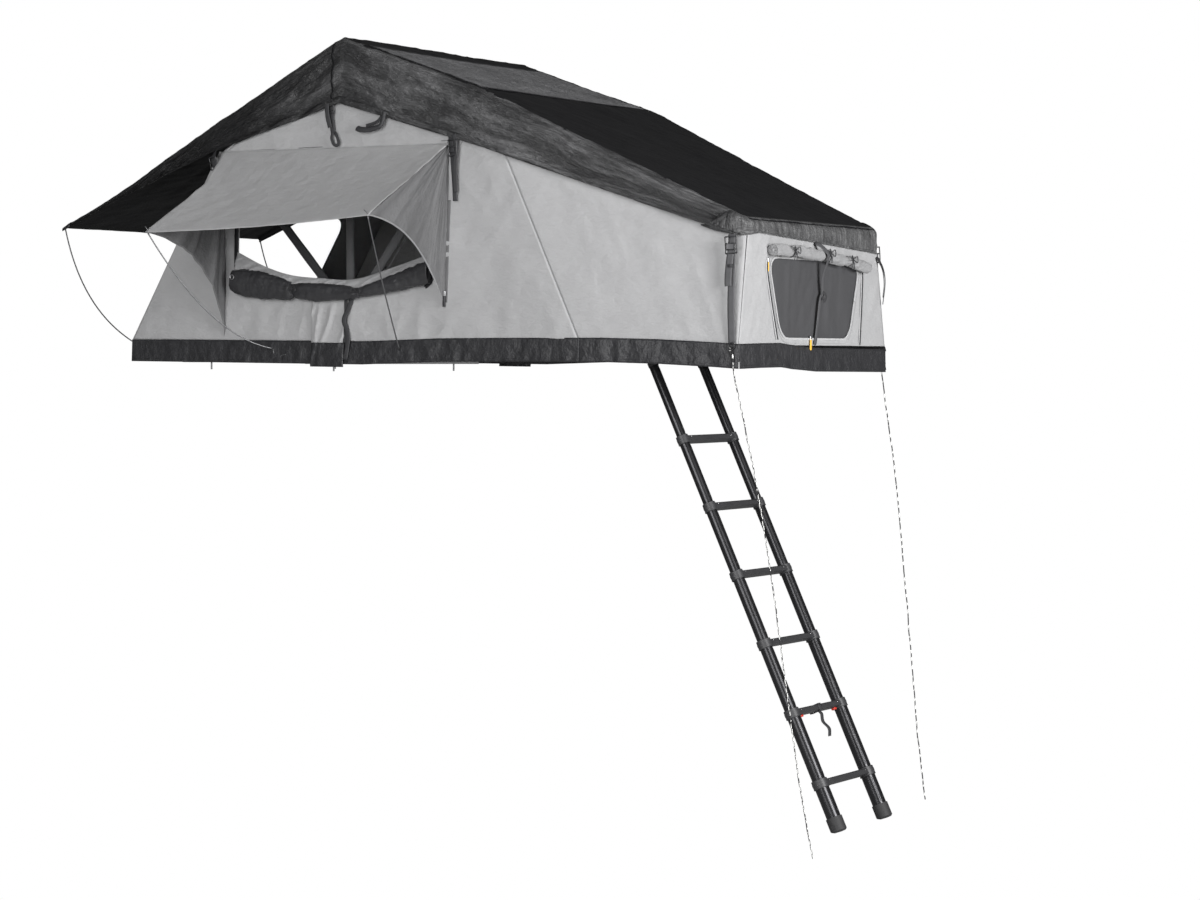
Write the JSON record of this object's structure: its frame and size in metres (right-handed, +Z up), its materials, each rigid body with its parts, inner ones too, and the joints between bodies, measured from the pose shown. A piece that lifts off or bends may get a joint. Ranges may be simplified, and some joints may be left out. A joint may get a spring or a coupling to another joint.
{
  "type": "roof top tent",
  "caption": "Folding soft-shell roof top tent, standing open, with bent-tube hoops, rainfly, window awnings, end porch and telescopic ladder.",
  "frame": {"origin": "centre of the four rack studs, on the underside of the mounting rails", "axes": "+X is the fold-out direction towards the ladder, Y runs along the fold hinge, +Z is up; the wall nearest the camera is at -Y"},
  "size_m": [3.9764, 2.3962, 3.2613],
  "materials": {
    "fly_fabric": "black coated ripstop, satin",
    "canvas_grey": "woven grey canvas, matt",
    "skirt_black": "black coated cloth, satin",
    "mesh_dark": "fine insect mesh",
    "webbing": "black woven webbing",
    "rope_braid": "black and white braided cord",
    "foam_cover": "grey mattress cover",
    "frame_alu": "mill extrusion",
    "rail_alu": "black powder coat",
    "board": "grey composite floor board",
    "steel_black": "black powder coat",
    "steel_bright": "zinc plated steel",
    "hoop_steel": "dark powder-coated tube",
    "rod_steel": "spring steel rod",
    "ladder_alu": "black anodised tube, satin",
    "ladder_plastic": "black moulded step",
    "foot_rubber": "black rubber",
    "button_red": "red button",
    "zip_yellow": "yellow pull"
  },
  "bodies": {
    "base_inner": {"mount_rails": "rail_alu", "rack_bolts": "steel_bright", "inner_frame": "frame_alu", "inner_board": "board", "inner_mattress": "foam_cover", "inner_skirt": "skirt_black", "hinge_plates_inner": "steel_black", "hinge_pins": "steel_bright", "fold_flaps": "canvas_grey"},
    "base_outer": {"outer_frame": "frame_alu", "outer_board": "board", "outer_mattress": "foam_cover", "outer_skirt": "skirt_black", "hinge_plates_outer": "steel_black", "end_brackets": "steel_black", "ladder_bracket": "steel_black"},
    "hoop_rear": {"rear_hoop": "hoop_steel"},
    "hoop_centre": {"centre_hoop": "hoop_steel", "side_wall_near": "canvas_grey", "side_wall_far": "canvas_grey", "rear_wall": "canvas_grey", "end_wall": "canvas_grey", "porch_walls": "canvas_grey", "porch_skirt": "skirt_black", "roof_canvas": "canvas_grey", "window_mesh": "mesh_dark", "fly": "fly_fabric", "window_rolls": "mesh_dark", "door_roll": "canvas_grey", "side_straps": "webbing", "corner_straps": "webbing", "rear_rods": "rod_steel"},
    "hoop_front": {"front_hoop": "hoop_steel"},
    "hoop_end": {"end_hoop": "hoop_steel"},
    "awning_near_cloth": {"awning_near": "canvas_grey", "awning_rods_near": "rod_steel"},
    "awning_far_cloth": {"awning_far": "canvas_grey", "awning_rods_far": "rod_steel"},
    "zip": {"zip_slider": "zip_yellow"},
    "rope_near": {"guy_rope_near": "rope_braid"},
    "rope_far": {"guy_rope_far": "rope_braid"},
    "ladder_1": {"ladder_hanger": "steel_black", "ladder_tubes_1": "ladder_alu"},
    "ladder_2": {"ladder_rung_2": "ladder_plastic", "ladder_tubes_2": "ladder_alu"},
    "ladder_3": {"ladder_rung_3": "ladder_plastic", "ladder_tubes_3": "ladder_alu"},
    "ladder_4": {"ladder_rung_4": "ladder_plastic", "ladder_tubes_4": "ladder_alu"},
    "ladder_5": {"ladder_rung_5": "ladder_plastic", "ladder_tubes_5": "ladder_alu"},
    "ladder_6": {"ladder_rung_6": "ladder_plastic", "ladder_tubes_6": "ladder_alu", "ladder_strap": "webbing"},
    "ladder_7": {"ladder_rung_7": "ladder_plastic", "ladder_tubes_7": "ladder_alu", "ladder_feet": "foot_rubber"},
    "button_near": {"ladder_button_near": "button_red"},
    "button_far": {"ladder_button_far": "button_red"}
  },
  "joints": [
    {"name": "base_fold", "type": "hinge", "parent": "base_inner", "child": "base_outer", "pos_m": [0.6, 0, 0.19], "axis": [0, -1, 0], "range_deg": [0, 180], "deforming": ["side_wall_near", "side_wall_far", "rear_wall", "end_wall", "porch_walls", "porch_skirt", "roof_canvas", "window_mesh", "fly", "window_rolls", "door_roll", "side_straps", "corner_straps", "rear_rods", "zip_slider", "awning_near", "awning_far", "awning_rods_near", "awning_rods_far", "guy_rope_near", "guy_rope_far"]},
    {"name": "rear_hoop_fold", "type": "hinge", "parent": "base_inner", "child": "hoop_rear", "pos_m": [0.6, 0, 0.19], "axis": [0, -1, 0], "range_deg": [0, 48.84]},
    {"name": "centre_hoop_fold", "type": "hinge", "parent": "base_inner", "child": "hoop_centre", "pos_m": [0.6, 0, 0.19], "axis": [0, -1, 0], "range_deg": [0, 89.64]},
    {"name": "front_hoop_fold", "type": "hinge", "parent": "base_inner", "child": "hoop_front", "pos_m": [0.6, 0, 0.19], "axis": [0, -1, 0], "range_deg": [0, 126.62]},
    {"name": "end_hoop_fold", "type": "hinge", "parent": "base_outer", "child": "hoop_end", "pos_m": [1.835, 0, 0.1605], "axis": [0, -1, 0], "range_deg": [0, 147]},
    {"name": "awning_near_fold", "type": "hinge", "parent": "hoop_centre", "child": "awning_near_cloth", "pos_m": [0.535, -0.69314, 0.925], "axis": [1, 0, 0], "range_deg": [0, 50]},
    {"name": "awning_far_fold", "type": "hinge", "parent": "hoop_centre", "child": "awning_far_cloth", "pos_m": [0.535, 0.69314, 0.925], "axis": [-1, 0, 0], "range_deg": [0, 50]},
    {"name": "zip_slide", "type": "slide", "parent": "hoop_centre", "child": "zip", "axis": [0.0179, 0.2874, -0.9576], "range_m": [0, 0.3]},
    {"name": "rope_near_draw", "type": "slide", "parent": "base_outer", "child": "rope_near", "axis": [-1, 0, 0], "range_m": [0, 0.9]},
    {"name": "rope_far_draw", "type": "slide", "parent": "base_outer", "child": "rope_far", "axis": [-1, 0, 0], "range_m": [0, 0.9]},
    {"name": "ladder_swing", "type": "hinge", "parent": "base_outer", "child": "ladder_1", "pos_m": [1.8335, 0, 0.035], "axis": [0, 1, 0], "range_deg": [-15, 80]},
    {"name": "ladder_slide", "type": "slide", "parent": "ladder_1", "child": "ladder_2", "axis": [-0.4352, 0, 0.9003], "range_m": [0, 0.235]},
    {"name": "ladder_slide_3", "type": "slide", "parent": "ladder_2", "child": "ladder_3", "axis": [-0.4352, 0, 0.9003], "range_m": [0, 0.235]},
    {"name": "ladder_slide_4", "type": "slide", "parent": "ladder_3", "child": "ladder_4", "axis": [-0.4352, 0, 0.9003], "range_m": [0, 0.235]},
    {"name": "ladder_slide_5", "type": "slide", "parent": "ladder_4", "child": "ladder_5", "axis": [-0.4352, 0, 0.9003], "range_m": [0, 0.235]},
    {"name": "ladder_slide_6", "type": "slide", "parent": "ladder_5", "child": "ladder_6", "axis": [-0.4352, 0, 0.9003], "range_m": [0, 0.235]},
    {"name": "ladder_slide_7", "type": "slide", "parent": "ladder_6", "child": "ladder_7", "axis": [-0.4352, 0, 0.9003], "range_m": [0, 0.145]},
    {"name": "button_near_slide", "type": "slide", "parent": "ladder_6", "child": "button_near", "axis": [0, 1, 0], "range_m": [0, 0.006], "stiffness_N_per_m": 400},
    {"name": "button_far_slide", "type": "slide", "parent": "ladder_6", "child": "button_far", "axis": [0, -1, 0], "range_m": [0, 0.006], "stiffness_N_per_m": 400}
  ],
  "couplings": [
    {"joint": "rear_hoop_fold", "follows": "base_fold", "ratio": 0.2712},
    {"joint": "centre_hoop_fold", "follows": "base_fold", "ratio": 0.4979},
    {"joint": "front_hoop_fold", "follows": "base_fold", "ratio": 0.70336},
    {"joint": "awning_near_fold", "follows": "base_fold", "ratio": 0.27778},
    {"joint": "awning_far_fold", "follows": "base_fold", "ratio": 0.27778},
    {"joint": "rope_near_draw", "follows": "base_fold", "m_per_rad": 0.28646},
    {"joint": "rope_far_draw", "follows": "base_fold", "m_per_rad": 0.28646},
    {"joint": "ladder_slide_3", "follows": "ladder_slide", "ratio": 1},
    {"joint": "ladder_slide_4", "follows": "ladder_slide", "ratio": 1},
    {"joint": "ladder_slide_5", "follows": "ladder_slide", "ratio": 1},
    {"joint": "ladder_slide_6", "follows": "ladder_slide", "ratio": 1},
    {"joint": "ladder_slide_7", "follows": "ladder_slide", "ratio": 0.61702}
  ]
}
